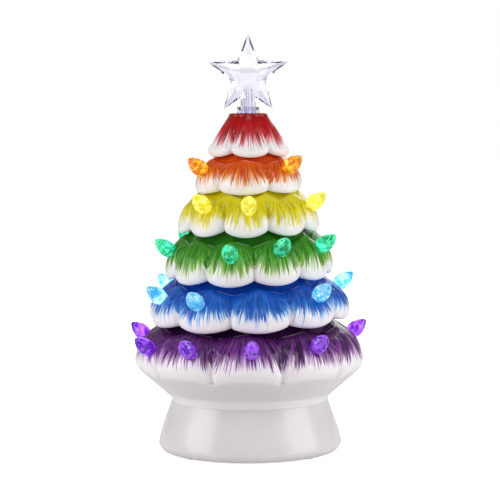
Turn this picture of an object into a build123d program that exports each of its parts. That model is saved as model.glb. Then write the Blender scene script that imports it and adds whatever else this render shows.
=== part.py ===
"""Tabletop ceramic Christmas tree, lit from inside by a battery lamp.

A glazed tree casting lifts off a glazed pedestal. Faceted plastic bulbs are pegged into the tree, and a
clear star stands in a bush at its top. The pedestal holds a battery tray, from which a lamp post
reaches up into the tree. Millimetres and degrees, +Z up, origin on the table under the tree's axis.
Azimuth 0 faces the viewer, towards -Y, and grows towards +X.
"""

import os
from dataclasses import dataclass
from math import atan2, cos, radians, sin, tan

from build123d import *

# Whole object
SEAT_HEIGHT = 31.3  # table to the joint between pedestal and tree
TREE_HEIGHT = 174.7  # that joint to the tree's flat top
TREE_RADIUS = 71.0  # lobes of the lowest tier
NECK_RADIUS = 47.7  # where tree and pedestal meet
CUT_OVERRUN = 1.0  # how far every cutting tool runs past the face it opens

# Tree casting
TREE_WALL = 4.0
CREASE_DEPTH = 3.0  # how far the creases lie inside the lobes at a hem
HEM_SCALLOP = 3.2  # how far a lobe hangs below the creases beside it
RIDGE_RISE = 4.0  # how far the ridge climbs over each lobe
RIDGE_ROUND = 2.0  # how far in from the ridge a tier's neck begins
LIP_TUCK = 2.2  # how far the hem's lower edge lies inside its widest line
UNDERCUT = 1.0  # recess of a hem's underside above its creases
LEDGE = 1.5  # flat left under a hem, outside the neck of the tier below
NECK_TUCK = 4.5  # how far a tier's neck lies inside its ridge
NECK_OVERLAP = 2.0  # how far a neck runs up into the tier above
RIM_ROUND = 2.0  # round of the flat top's rim
TIER_TILT = 3.0  # degrees that the tilted tiers lean, as cast
TILT_AZIMUTH = -30.0
KEEL_TUCK = 5.2  # how far the lowest tier's keel lies inside its hem
KEEL_RISE = 17.4  # neck joint to the keel's upper edge
KEEL_BAND = 2.1  # upright band at the neck, before the keel
SPIGOT_CLEARANCE = 0.4
SPIGOT_REACH = 5.0  # depth of the round mouth that the pedestal's spigot enters

# Pedestal casting
PEDESTAL_WALL = 4.0
FOOT_WALL = 5.0  # at the widest line
FOOT_RADIUS = 56.0
FOOT_WIDEST = 5.0  # height of the widest line above the table
FOOT_RING_RADIUS = 53.5
FOOT_RING_WIDTH = 9.0
FOOT_RECESS = 3.0
SPIGOT_RADIUS = 43.0
SPIGOT_HEIGHT = 4.5
TRAY_HOLE_RADIUS = 41.5

# Foot pads
PAD_RADIUS = 2.8
PAD_THICKNESS = 1.6
PAD_PROUD = 0.8
PAD_CLEARANCE = 0.1
PAD_AZIMUTHS = (45.0, 135.0, 225.0, 315.0)

# Star and its bush
STAR_RADIUS = 25.2
STAR_CENTRE_HEIGHT = 22.8  # above the tree's flat top
STAR_VALLEY_RADIUS = 10.9
STAR_BOSS_RADIUS = 5.8
STAR_RIDGE_HALF_WIDTH = 2.1
STAR_HALF_DEPTH = 5.6
STAR_EDGE_HALF_DEPTH = 0.7
STAR_POINTS = 5
STEM_RADIUS = 4.6
STEM_DEPTH = 9.0  # below the tree's flat top
STEM_CLEARANCE = 0.08
BUSH_FLANGE_RADIUS = 6.8
BUSH_FLANGE_HEIGHT = 3.5
BUSH_FLUTES = 18
BUSH_RADIUS = 5.9
BUSH_DEPTH = 10.0
BUSH_CLEARANCE = 0.08

# Bulbs
BULB_RADIUS = 5.0
BULB_LENGTH = 13.5  # seat to tip
BULB_FLANGE_RADIUS = 4.2
BULB_FLANGE_HEIGHT = 1.1
BULB_PEG_RADIUS = 2.3
BULB_PEG_LENGTH = 9.0
BULB_SIDES = 8
BULB_ELEVATION = 38.0  # degrees above the horizon that a bulb points
BULB_STRAY = 2.4  # how far a hand-drilled hole may lie above or below its row
BULB_SEAT_DEPTH = 0.8  # how deep the seat is sunk in the glaze
BULB_CLEARANCE = 0.15
BULB_HOLE_REACH = 16.0  # seat to the far end of the drilled hole
# Height and radius of each ring of facets, from the flange to the tip
BULB_RING_HEIGHT_SHARES = (0.0, 0.22, 0.5, 0.78, 1.0)
BULB_RING_RADIUS_SHARES = (0.8, 1.0, 0.93, 0.6, 0.16)

# Battery tray, in the pedestal's foot
TRAY_RADIUS = 39.0
TRAY_PLATE = 3.0
TRAY_SKIRT_WALL = 1.8
TRAY_SKIRT_HEIGHT = 7.0
TRAY_RECESS = 1.4  # how far the plate lies inside the foot ring
BOX_WALL = 2.4
BOX_ROOF = 1.6
DOOR_LEDGE = 1.0  # how far the door's window is wider than the cell bay, on each side
GASKET_LIP = 2.2
GASKET_LIP_HEIGHT = 1.3
GASKET_GAP = 0.1

# AA cells and their contacts
CELL_RADIUS = 7.25
CELL_BODY_LENGTH = 49.5
CELL_BUTTON_RADIUS = 2.6
CELL_BUTTON_LENGTH = 1.0
CELL_PITCH = 14.7
CELL_COUNT = 3
CELL_SIDE_GAP = 0.15
CELL_FLOOR_GAP = 0.3
CELL_ROOF_GAP = 0.8
CONTACT_SIDE = 9.0
CONTACT_THICKNESS = 0.4
SPRING_SPACE = 2.7  # contact plate to the cell's flat end
SPRING_RADIUS = 3.0
SPRING_WIRE_RADIUS = 0.3
SPRING_PITCH = 1.1
SPRING_GAP = 0.1

# Battery door
DOOR_GAP = 0.3
DOOR_THICKNESS = 2.2
DOOR_TOP_GAP = 0.4  # door to the bay's rim
DOOR_PIN_RADIUS = 0.8
DOOR_PIN_LENGTH = 1.1
DOOR_PIN_CLEARANCE = 0.08
LATCH_WIDTH = 12.0
LATCH_LENGTH = 9.0
LATCH_SLIT = 0.8
LATCH_RIDGE_WIDTH = 1.5
LATCH_RIDGE_HEIGHT = 0.6

# Switch and timer board
SWITCH_Y = 31.0
SWITCH_LENGTH = 9.0
SWITCH_WIDTH = 4.5
SWITCH_HEIGHT = 4.0
SLIDER_LENGTH = 2.0
SLIDER_WIDTH = 1.8
SLIDER_TRAVEL = 2.0  # each way from the middle
SLIDER_GAP = 0.2
SLIDER_PROUD = 0.9  # below the tray's plate
SLIDER_DEPTH = 1.6  # inside the switch
TIMER_LENGTH = 24.0
TIMER_WIDTH = 8.0
TIMER_THICKNESS = 1.2

# Lamp post and leads
POST_TOP = 104.0
POST_RADIUS = 5.0
POST_BORE_RADIUS = 3.6
POST_FLANGE_RADIUS = 10.0
POST_FLANGE_HEIGHT = 2.0
POST_SLOT_WIDTH = 5.0
POST_SLOT_HEIGHT = 7.0
POST_SCREW_SPREAD = 7.4
SCREW_RADIUS = 0.95
SCREW_LENGTH = 4.0
SCREW_HEAD_RADIUS = 2.0
SCREW_HEAD_HEIGHT = 1.3
SCREW_CLEARANCE = 0.1
LED_BOARD_RADIUS = 9.0
LED_BOARD_THICKNESS = 1.6
LED_COUNT = 5
LED_RING_RADIUS = 5.8
LED_RADIUS = 2.5
LED_RIM_RADIUS = 2.9
LED_RIM_HEIGHT = 1.0
LED_BODY_HEIGHT = 5.0
LEAD_RADIUS = 0.7
LEAD_SPREAD = 1.2  # each lead's distance from the middle plane
LEAD_ROOF_GAP = 0.3
LEAD_POST_BEND = 3.0
LEAD_BEND_SHARE = 0.45  # of the run up from the timer board


@dataclass
class Tier:
    """One painted skirt of the tree. Radii are shares of TREE_RADIUS, heights of TREE_HEIGHT."""

    name: str
    lobes: int
    crease_azimuth: float
    ridge_radius_share: float
    ridge_height_share: float
    hem_radius_share: float
    hem_height_share: float
    lip_height_share: float
    crease_share: float = 1.0  # of CREASE_DEPTH
    scallop_share: float = 1.0  # of HEM_SCALLOP
    rise_share: float = 1.0  # of RIDGE_RISE
    tilt_share: float = 1.0  # of TIER_TILT
    bulb_tilt_share: float = 0.0  # of TIER_TILT
    bulb_height_share: float = 0.0
    bulb_azimuths: tuple = ()
    bulb_stray_shares: tuple = ()  # of BULB_STRAY


TIERS = (
    Tier("red", 6, -27, 0.175, 0.988, 0.36, 0.866, 0.849, 0.75, 0.8, 0.0, 0.0),
    Tier("orange", 6, -36.4, 0.343, 0.836, 0.467, 0.754, 0.726, 0.8, 0.7, 0.7, 0.4, 0.4, 0.803,
         (-63, 52, 172), (-0.5, 0.1, 0.0)),
    Tier("yellow", 9, -22.4, 0.434, 0.717, 0.61, 0.614, 0.587, 1.0, 1.2, -1.0, 0.5, 0.5, 0.677,
         (-42, 0, 70, 145, -140), (0.0, -0.2, -0.6, 0.0, 0.0)),
    Tier("green", 10, 3.8, 0.555, 0.571, 0.724, 0.468, 0.431, 1.0, 1.0, 1.0, 1.0, 1.0, 0.531,
         (-80, -13, 24, 67, 138, -176, -130), (-1.0, -0.5, 1.0, 0.0, 0.0, 0.0, -0.5)),
    Tier("blue", 10, -11.1, 0.636, 0.412, 0.868, 0.325, 0.283, 1.0, 0.95, 1.0, 1.0, 1.0, 0.368,
         (-119, -67, -32, 47, 104, 150, -165), (0.0, -0.5, -0.6, 0.4, -0.2, 0.0, 0.0)),
    Tier("purple", 10, -19.3, 0.769, 0.256, 1.0, 0.153, 0.117, 1.0, -0.6, 0.8, 0.0, 0.6, 0.199,
         (-108, -61, -31, 1, 36.5, 108, 145, -179, -144),
         (-0.75, -1.25, -0.4, 0.0, 0.5, -0.75, 0.0, 0.0, 0.0)),
)

# Rows of a tier between its ridge and its hem: outward, drop and crease shares, on a domed and a straight tier
DOMED_ROW_SHARES = ((0.45, 0.2, 0.55), (0.78, 0.5, 0.75))
STRAIGHT_ROW_SHARES = ((0.25, 0.24, 0.3), (0.5, 0.49, 0.5), (0.76, 0.74, 0.75))
RIDGE_CREASE_SHARE = 0.35  # crease depth at the ridge
RIM_INSET_SHARE = 0.6  # how far inside the flat top's rim its round begins, of RIM_ROUND
KEEL_ROUND_SHARE = 0.85  # of the upright band that is rounded into the keel
RIDGE_CROWN_SHARE = 0.4  # climb from the ridge to the neck's beginning, of RIDGE_ROUND

PEDESTAL_WAIST_SHARE = 0.57  # radius, between neck and foot, at half the flare's height
PEDESTAL_NECK_SHARE = 0.12  # slope of the flare at the neck


def polar(radius, azimuth, height=0.0):
    """A point at a radius and azimuth about the tree's axis."""
    turn = radians(azimuth)
    return Vector(radius * sin(turn), -radius * cos(turn), height)


def lean(tilt_share, radius, azimuth):
    """How far a tilted tier, or its row of bulbs, stands above its level at a point."""
    slope = tan(radians(TIER_TILT * tilt_share))
    return -slope * radius * cos(radians(azimuth - TILT_AZIMUTH))


def turned(*points):
    """A solid of revolution about the tree's axis, from (radius, height) corners."""
    return revolve(Plane.XZ * make_face(Polyline(*points, close=True)), Axis.Z)


def disc(radius, low, high, x=0.0, y=0.0):
    """An upright cylinder between two heights."""
    return Pos(x, y, low) * extrude(Circle(radius), high - low)


def block(length, width, low, high, x=0.0, y=0.0):
    """An upright box between two heights."""
    return Pos(x, y, low) * extrude(Rectangle(length, width), high - low)


def tier_wire(tier, lobe, crease, tilted=True):
    """A closed line of one arc per lobe; lobe and crease are (radius, height)."""
    step = 360.0 / tier.lobes

    def point(place, count):
        radius, height = place
        azimuth = tier.crease_azimuth + step * (count % tier.lobes)
        return polar(radius, azimuth, height + (lean(tier.tilt_share, radius, azimuth) if tilted else 0.0))

    arcs = [
        ThreePointArc(point(crease, n), point(lobe, n + 0.5), point(crease, n + 1))
        for n in range(tier.lobes)
    ]
    return Wire(arcs)


def ring_wire(tier, radius, height):
    """A level circle, split at the tier's creases."""
    return tier_wire(tier, (radius, height), (radius, height), tilted=False)


def place(radius_share, height_share):
    """Radius and height on the tree from their shares."""
    return (TREE_RADIUS * radius_share, SEAT_HEIGHT + TREE_HEIGHT * height_share)


class TierSizes:
    """The sizes of one tier, worked out from its shares."""

    def __init__(self, tier):
        self.crease = CREASE_DEPTH * tier.crease_share
        self.scallop = HEM_SCALLOP * tier.scallop_share
        self.rise = RIDGE_RISE * tier.rise_share
        self.ridge = place(tier.ridge_radius_share, tier.ridge_height_share)
        self.hem = place(tier.hem_radius_share, tier.hem_height_share)
        self.lip = (self.hem[0] - LIP_TUCK, place(0.0, tier.lip_height_share)[1])
        self.neck_radius = self.ridge[0] - NECK_TUCK
        self.under_height = self.lip[1] + max(self.scallop, 0.0) + UNDERCUT
        shares = STRAIGHT_ROW_SHARES if tier is TIERS[0] else DOMED_ROW_SHARES
        outward, fall = self.hem[0] - self.ridge[0], self.ridge[1] - self.hem[1]
        self.rows = [(self.ridge[0] + out * outward, self.ridge[1] - drop * fall) for out, drop, _ in shares]
        self.row_creases = [share * self.crease for _, _, share in shares]
        steepness = (self.rows[0][0] - self.ridge[0]) / (self.ridge[1] - self.rows[0][1])
        self.top_radius = self.ridge[0] - steepness * (SEAT_HEIGHT + TREE_HEIGHT - self.ridge[1])


SIZES = {tier.name: TierSizes(tier) for tier in TIERS}
TREE_TOP = SEAT_HEIGHT + TREE_HEIGHT
FOOT_PLANE = PAD_PROUD


def tier_solid(tier, above, below):
    """One skirt: from its neck over the ridge, down to the hem and in again underneath."""
    sizes = SIZES[tier.name]
    wires = []
    if above is None:
        wires.append(ring_wire(tier, sizes.top_radius, TREE_TOP))
    else:
        wires.append(ring_wire(tier, sizes.neck_radius, SIZES[above.name].under_height + NECK_OVERLAP))
        peak = (sizes.ridge[0], sizes.ridge[1] + sizes.rise / 2)
        dip = (sizes.ridge[0] - RIDGE_CREASE_SHARE * sizes.crease, sizes.ridge[1] - sizes.rise / 2)
        climb = RIDGE_CROWN_SHARE * RIDGE_ROUND
        crown = [(radius - RIDGE_ROUND, height + climb) for radius, height in (peak, dip)]
        wires.append(tier_wire(tier, *crown))
        wires.append(tier_wire(tier, peak, dip))
    for (radius, height), crease in zip(sizes.rows, sizes.row_creases):
        wires.append(tier_wire(tier, (radius, height), (radius - crease, height)))
    hem_radius, hem_height = sizes.hem
    lip_radius, lip_height = sizes.lip
    wires.append(tier_wire(tier, sizes.hem, (hem_radius - sizes.crease, hem_height + sizes.scallop / 2)))
    wires.append(tier_wire(tier, sizes.lip, (lip_radius - sizes.crease, lip_height + sizes.scallop)))
    if below is None:
        wires.append(ring_wire(tier, lip_radius - sizes.crease - KEEL_TUCK, sizes.under_height))
    else:
        wires.append(ring_wire(tier, SIZES[below.name].neck_radius + LEDGE, sizes.under_height))
    skirt = Solid.make_loft(wires)
    return skirt & top_round(sizes) if above is None else skirt


def top_round(sizes):
    """A turned form that rounds the flat top's rim and leaves the rest of the highest tier whole."""
    start = sizes.top_radius - RIM_INSET_SHARE * RIM_ROUND
    below = sizes.under_height - CUT_OVERRUN
    beyond = sizes.hem[0] + CUT_OVERRUN
    rim = JernArc((start, TREE_TOP), (1, 0), RIM_ROUND, -90)
    rest = Polyline(rim @ 1, (beyond, TREE_TOP - RIM_ROUND), (beyond, below), (0.0, below), (0.0, TREE_TOP), rim @ 0)
    return revolve(Plane.XZ * make_face([rim, rest]), Axis.Z)


def tree_keel():
    """The plain cone under the lowest tier, down to the neck."""
    sizes = SIZES[TIERS[-1].name]
    neck = (NECK_RADIUS, SEAT_HEIGHT)
    bend = (NECK_RADIUS, SEAT_HEIGHT + KEEL_BAND)
    edge = (sizes.hem[0] - KEEL_TUCK, SEAT_HEIGHT + KEEL_RISE)
    half_turn = atan2(edge[0] - bend[0], edge[1] - bend[1]) / 2
    outside = FilletPolyline(neck, bend, edge, radius=KEEL_ROUND_SHARE * KEEL_BAND / tan(half_turn))
    top = sizes.hem[1]
    inside = Polyline(edge, (edge[0] - sizes.crease - KEEL_TUCK, top), (0.0, top), (0.0, SEAT_HEIGHT), neck)
    return revolve(Plane.XZ * make_face([outside, inside]), Axis.Z)


def tree_outside():
    """The six skirts, stacked and fused into one casting."""
    neighbours = zip((None, *TIERS[:-1]), TIERS, (*TIERS[1:], None))
    skirts = [tier_solid(tier, above, below) for above, tier, below in neighbours]
    return skirts[0].fuse(*skirts[1:], tree_keel())


def tree_cavity():
    """The hollow left by slip casting, one wall inside the creases, open at the neck."""
    mouth = SPIGOT_RADIUS + SPIGOT_CLEARANCE
    below = SEAT_HEIGHT - CUT_OVERRUN
    outline = [(0.0, below), (mouth, below), (mouth, SEAT_HEIGHT + SPIGOT_REACH)]
    lowest = SIZES[TIERS[-1].name]
    outline.append((lowest.hem[0] - lowest.crease - TREE_WALL, lowest.hem[1]))
    for upper, tier in zip((*TIERS[-2::-1], None), TIERS[::-1]):
        sizes = SIZES[tier.name]
        radius, height = sizes.rows[-1]
        outline.append((radius - sizes.row_creases[-1] - TREE_WALL, height))
        if upper is not None:
            inside = sizes.neck_radius - TREE_WALL
            outline.append((inside, sizes.ridge[1] - TREE_WALL))
            outline.append((inside, SIZES[upper.name].under_height + TREE_WALL))
    top_radius, top_height = SIZES[TIERS[0].name].ridge
    outline.append((top_radius - TREE_WALL, top_height - TREE_WALL))
    outline.append((0.0, top_height - TREE_WALL))
    return turned(*outline)


def bulb_planes(outside):
    """The seat of every bulb by name: on the glaze, with the plane's normal along the bulb."""
    seats = {}
    for tier in TIERS:
        drilled = zip(tier.bulb_azimuths, tier.bulb_stray_shares)
        for count, (azimuth, stray_share) in enumerate(drilled, start=1):
            rise = radians(BULB_ELEVATION)
            outward = polar(cos(rise), azimuth, sin(rise))
            radius = (SIZES[tier.name].ridge[0] + SIZES[tier.name].hem[0]) / 2
            level = SEAT_HEIGHT + TREE_HEIGHT * tier.bulb_height_share + BULB_STRAY * stray_share
            aim = polar(radius, azimuth, level + lean(tier.bulb_tilt_share, radius, azimuth))
            hits = outside.find_intersection_points(Axis(aim - outward * BULB_HOLE_REACH, outward))
            glaze = max((point for point, _ in hits), key=lambda point: (point - aim).dot(outward))
            seats[f"{tier.name}_bulb_{count}"] = Plane(glaze - outward * BULB_SEAT_DEPTH, z_dir=outward)
    return seats


def bulb_hole():
    """Drill and counterbore for one bulb, about its seat."""
    drill = disc(BULB_PEG_RADIUS + BULB_CLEARANCE, -BULB_HOLE_REACH, CUT_OVERRUN)
    return drill + disc(BULB_FLANGE_RADIUS + BULB_CLEARANCE, 0.0, BULB_RADIUS)


def tree_shell(outside, seats):
    """The hollow casting with its bulb holes and the hole for the star's bush."""
    low = TREE_TOP - BUSH_DEPTH - CUT_OVERRUN
    star_hole = disc(BUSH_RADIUS + BUSH_CLEARANCE, low, TREE_TOP + CUT_OVERRUN)
    holes = [plane * bulb_hole() for plane in seats.values()]
    return outside - [tree_cavity(), star_hole, *holes]


def facet_solid(faces):
    """A closed solid from flat polygons, each a list of corners."""
    return Solid(Shell([Face(Wire.make_polygon(corners)) for corners in faces]))


def bulb():
    """One cut plastic bulb about its seat: peg, flange and a head of twisted facets."""
    head_length = BULB_LENGTH - BULB_FLANGE_HEIGHT
    turn = 360.0 / BULB_SIDES
    rings = [
        [
            polar(BULB_RADIUS * radius, turn * (side + level / 2), BULB_FLANGE_HEIGHT + head_length * height)
            for side in range(BULB_SIDES)
        ]
        for level, (height, radius) in enumerate(zip(BULB_RING_HEIGHT_SHARES, BULB_RING_RADIUS_SHARES))
    ]
    faces = [rings[0][::-1], rings[-1]]
    for lower, upper in zip(rings, rings[1:]):
        for side in range(BULB_SIDES):
            after = (side + 1) % BULB_SIDES
            faces.append([lower[side], lower[after], upper[side]])
            faces.append([lower[after], upper[after], upper[side]])
    peg = disc(BULB_PEG_RADIUS, -BULB_PEG_LENGTH, 0.0)
    flange = disc(BULB_FLANGE_RADIUS, 0.0, BULB_FLANGE_HEIGHT)
    return peg + flange + facet_solid(faces)


def star():
    """The clear star, cut with a narrow ridge facet along each point, on its round stem."""
    centre = Vector(0.0, 0.0, TREE_TOP + STAR_CENTRE_HEIGHT)
    turn = 360.0 / STAR_POINTS

    def corner(radius, azimuth, depth, aside=0.0):
        angle = radians(azimuth)
        across = radius * sin(angle) + aside * cos(angle)
        return centre + Vector(across, depth, radius * cos(angle) - aside * sin(angle))

    faces = []
    for side in (-1, 1):
        edge, boss = side * STAR_EDGE_HALF_DEPTH, side * STAR_HALF_DEPTH
        crown = []
        for point in range(STAR_POINTS):
            tip = corner(STAR_RADIUS, turn * point, edge)
            valleys = [corner(STAR_VALLEY_RADIUS, turn * (point + half), edge) for half in (-0.5, 0.5)]
            left, right = (
                corner(STAR_BOSS_RADIUS, turn * point, boss, aside)
                for aside in (-STAR_RIDGE_HALF_WIDTH, STAR_RIDGE_HALF_WIDTH)
            )
            next_left = corner(STAR_BOSS_RADIUS, turn * (point + 1), boss, -STAR_RIDGE_HALF_WIDTH)
            crown += [left, right]
            faces += [[tip, left, right], [tip, valleys[0], left], [tip, right, valleys[1]]]
            faces.append([valleys[1], right, next_left])
        faces.append(crown)
    rims = (-STAR_EDGE_HALF_DEPTH, STAR_EDGE_HALF_DEPTH)
    for point in range(STAR_POINTS):
        for half in (-0.5, 0.5):
            ends = ((STAR_RADIUS, turn * point), (STAR_VALLEY_RADIUS, turn * (point + half)))
            front, back = ([corner(*end, rim) for end in ends] for rim in rims)
            faces.append([*front, *back[::-1]])
    stem = disc(STEM_RADIUS, TREE_TOP - STEM_DEPTH, centre.Z - STAR_BOSS_RADIUS)
    return facet_solid(faces) + stem


def star_bush():
    """The clear bush in the tree's top: a fluted flange and a plug, bored for the star's stem."""
    fluted = RegularPolygon(BUSH_FLANGE_RADIUS, BUSH_FLUTES)
    flange = Pos(0.0, 0.0, TREE_TOP) * extrude(fluted, BUSH_FLANGE_HEIGHT)
    plug = disc(BUSH_RADIUS, TREE_TOP - BUSH_DEPTH, TREE_TOP)
    bore = disc(STEM_RADIUS + STEM_CLEARANCE, TREE_TOP - BUSH_DEPTH - CUT_OVERRUN,
                TREE_TOP + BUSH_FLANGE_HEIGHT + CUT_OVERRUN)
    return flange + plug - bore


# Heights inside the pedestal, from the table up
FLOOR_LOW = FOOT_PLANE + FOOT_RECESS
FLOOR_HIGH = FLOOR_LOW + PEDESTAL_WALL
PLATE_LOW = FOOT_PLANE + TRAY_RECESS
PLATE_HIGH = PLATE_LOW + TRAY_PLATE
CELL_HEIGHT = PLATE_HIGH + CELL_FLOOR_GAP + CELL_RADIUS
BAY_HIGH = CELL_HEIGHT + CELL_RADIUS + CELL_ROOF_GAP
ROOF_HIGH = BAY_HIGH + BOX_ROOF
BAY_LENGTH = CELL_BODY_LENGTH + CELL_BUTTON_LENGTH + SPRING_SPACE + 2 * CONTACT_THICKNESS
BAY_WIDTH = CELL_PITCH * (CELL_COUNT - 1) + 2 * (CELL_RADIUS + CELL_SIDE_GAP)
FOOT_RING_INNER = FOOT_RING_RADIUS - FOOT_RING_WIDTH
PAD_RING_RADIUS = FOOT_RING_RADIUS - FOOT_RING_WIDTH / 2


def base_shell():
    """The flared pedestal: hollow, with a spigot on top for the tree and a hole below for the tray."""
    outer_foot = (FOOT_RADIUS, FOOT_WIDEST)
    flare = SEAT_HEIGHT - FOOT_WIDEST
    waist = (NECK_RADIUS + PEDESTAL_WAIST_SHARE * (FOOT_RADIUS - NECK_RADIUS), FOOT_WIDEST + flare / 2)
    neck = (NECK_RADIUS, SEAT_HEIGHT)
    spigot_inside = SPIGOT_RADIUS - PEDESTAL_WALL
    corners = [
        neck,
        (SPIGOT_RADIUS, SEAT_HEIGHT),
        (SPIGOT_RADIUS, SEAT_HEIGHT + SPIGOT_HEIGHT),
        (spigot_inside, SEAT_HEIGHT + SPIGOT_HEIGHT),
        (spigot_inside, SEAT_HEIGHT - PEDESTAL_WALL),
        (NECK_RADIUS - PEDESTAL_WALL, SEAT_HEIGHT - 2 * PEDESTAL_WALL),
        (FOOT_RADIUS - FOOT_WALL, FLOOR_HIGH + PEDESTAL_WALL / 2),
        (FOOT_RADIUS - FOOT_WALL, FLOOR_HIGH),
        (TRAY_HOLE_RADIUS, FLOOR_HIGH),
        (TRAY_HOLE_RADIUS, FLOOR_LOW),
        (FOOT_RING_INNER, FLOOR_LOW),
        (FOOT_RING_INNER, FOOT_PLANE),
        (FOOT_RING_RADIUS, FOOT_PLANE),
    ]
    outline = [
        Polyline(*corners),
        TangentArc(outer_foot, corners[-1], tangent=(0.0, -1.0)),
        Spline(outer_foot, waist, neck, tangents=((0.0, 1.0), (-PEDESTAL_NECK_SHARE, 1.0))),
    ]
    shell = revolve(Plane.XZ * make_face(outline), Axis.Z)
    pockets = [
        Pos(polar(PAD_RING_RADIUS, azimuth)) * disc(PAD_RADIUS + PAD_CLEARANCE, 0.0, PAD_THICKNESS)
        for azimuth in PAD_AZIMUTHS
    ]
    return shell - pockets


def foot_pad(azimuth):
    """A soft pad set in a pocket of the foot ring."""
    return Pos(polar(PAD_RING_RADIUS, azimuth)) * disc(PAD_RADIUS, 0.0, PAD_THICKNESS)


def tray_gasket():
    """The grommet round the tray's plate, gripping the edge of the pedestal's floor."""
    inside = TRAY_RADIUS + GASKET_GAP
    waist = TRAY_HOLE_RADIUS - GASKET_GAP
    lip = TRAY_HOLE_RADIUS + GASKET_LIP
    low, high = FLOOR_LOW - GASKET_GAP, FLOOR_HIGH + GASKET_GAP
    return turned(
        (inside, low - GASKET_LIP_HEIGHT), (lip, low - GASKET_LIP_HEIGHT), (lip, low), (waist, low),
        (waist, high), (lip, high), (lip, high + GASKET_LIP_HEIGHT), (inside, high + GASKET_LIP_HEIGHT),
    )


DOOR_AXIS_X = -(BAY_LENGTH / 2 + DOOR_LEDGE - DOOR_GAP - DOOR_THICKNESS / 2)
DOOR_HIGH = PLATE_HIGH - DOOR_TOP_GAP
DOOR_AXIS_Z = DOOR_HIGH - DOOR_THICKNESS / 2
WINDOW_WIDTH = BAY_WIDTH + 2 * DOOR_LEDGE


def door_pin_rod(radius, length):
    """A rod along the door's hinge axis."""
    end = Plane((DOOR_AXIS_X, -length / 2, DOOR_AXIS_Z), z_dir=(0.0, 1.0, 0.0))
    return end * extrude(Circle(radius), length)


def post_screw_places():
    """Where the two screws of the lamp post stand."""
    return ((-POST_SCREW_SPREAD, 0.0), (POST_SCREW_SPREAD, 0.0))


def battery_tray():
    """The round plastic tray: plate, skirt and a box over the cells, open below for the door."""
    plate = disc(TRAY_RADIUS, PLATE_LOW, PLATE_HIGH)
    skirt = disc(TRAY_RADIUS, PLATE_LOW, PLATE_LOW + TRAY_SKIRT_HEIGHT)
    skirt -= disc(TRAY_RADIUS - TRAY_SKIRT_WALL, PLATE_LOW, PLATE_LOW + TRAY_SKIRT_HEIGHT)
    box = block(BAY_LENGTH + 2 * BOX_WALL, BAY_WIDTH + 2 * BOX_WALL, PLATE_LOW, ROOF_HIGH)
    bay = block(BAY_LENGTH, BAY_WIDTH, PLATE_LOW - CUT_OVERRUN, BAY_HIGH)
    window = block(BAY_LENGTH + 2 * DOOR_LEDGE, WINDOW_WIDTH, PLATE_LOW - CUT_OVERRUN, PLATE_HIGH)
    pins = door_pin_rod(DOOR_PIN_RADIUS + DOOR_PIN_CLEARANCE, WINDOW_WIDTH + 2 * DOOR_PIN_LENGTH)
    slot_length = SLIDER_LENGTH + 2 * (SLIDER_TRAVEL + SLIDER_GAP)
    slot_width = SLIDER_WIDTH + 2 * SLIDER_GAP
    slot = block(slot_length, slot_width, PLATE_LOW - CUT_OVERRUN, PLATE_HIGH + CUT_OVERRUN, y=SWITCH_Y)
    threads = [
        disc(SCREW_RADIUS + SCREW_CLEARANCE, BAY_HIGH - CUT_OVERRUN, ROOF_HIGH + CUT_OVERRUN, *place)
        for place in post_screw_places()
    ]
    return plate + skirt + box - [bay, window, pins, slot, *threads]


def battery_door():
    """The door under the cells: hinged on two pins, with a sprung latch tongue at its free end."""
    far_edge = BAY_LENGTH / 2 + DOOR_LEDGE - DOOR_GAP
    length = far_edge - DOOR_AXIS_X
    width = WINDOW_WIDTH - 2 * DOOR_GAP
    low = DOOR_HIGH - DOOR_THICKNESS
    slab = block(length, width, low, DOOR_HIGH, x=DOOR_AXIS_X + length / 2)
    barrel = door_pin_rod(DOOR_THICKNESS / 2, width)
    pins = door_pin_rod(DOOR_PIN_RADIUS, WINDOW_WIDTH + 2 * (DOOR_PIN_LENGTH - DOOR_PIN_CLEARANCE))
    slits = [
        block(LATCH_LENGTH + CUT_OVERRUN, LATCH_SLIT, low - CUT_OVERRUN, DOOR_HIGH + CUT_OVERRUN,
              x=far_edge - (LATCH_LENGTH - CUT_OVERRUN) / 2, y=side * (LATCH_WIDTH - LATCH_SLIT) / 2)
        for side in (-1, 1)
    ]
    ridge = block(LATCH_RIDGE_WIDTH, LATCH_WIDTH - 4 * LATCH_SLIT, low - LATCH_RIDGE_HEIGHT, low,
                  x=far_edge - LATCH_RIDGE_WIDTH)
    return slab + barrel + pins + ridge - slits


def cell_places():
    """Each cell's distance from the middle plane and the end, -1 or +1 along X, of its flat pole."""
    first = -CELL_PITCH * (CELL_COUNT - 1) / 2
    return [(first + CELL_PITCH * count, -1 if count % 2 == 0 else 1) for count in range(CELL_COUNT)]


def along_bay(x, y, side):
    """A plane across the bay at a cell's height, its normal along +X or -X."""
    return Plane((x, y, CELL_HEIGHT), z_dir=(side, 0.0, 0.0))


def aa_cell(y, flat_end):
    """One AA cell, its button at the end away from the spring."""
    length = CELL_BODY_LENGTH + CELL_BUTTON_LENGTH
    start = flat_end * (BAY_LENGTH / 2 - CONTACT_THICKNESS - SPRING_SPACE + SPRING_GAP)
    upright = extrude(Circle(CELL_RADIUS), CELL_BODY_LENGTH) + extrude(Circle(CELL_BUTTON_RADIUS), length)
    return along_bay(start, y, -flat_end) * upright


def contact_spring(y, flat_end):
    """The wire spring behind a cell's flat pole, wound from its contact plate."""
    start = flat_end * (BAY_LENGTH / 2 - CONTACT_THICKNESS)
    space = SPRING_SPACE - SPRING_GAP
    wound = Helix(SPRING_PITCH, space - 2 * (SPRING_WIRE_RADIUS + SPRING_GAP), SPRING_RADIUS)
    wire = sweep(Plane(wound @ 0, z_dir=wound % 0) * Circle(SPRING_WIRE_RADIUS), wound, is_frenet=True)
    return along_bay(start, y, -flat_end) * (Pos(0.0, 0.0, SPRING_WIRE_RADIUS + SPRING_GAP) * wire)


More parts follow.
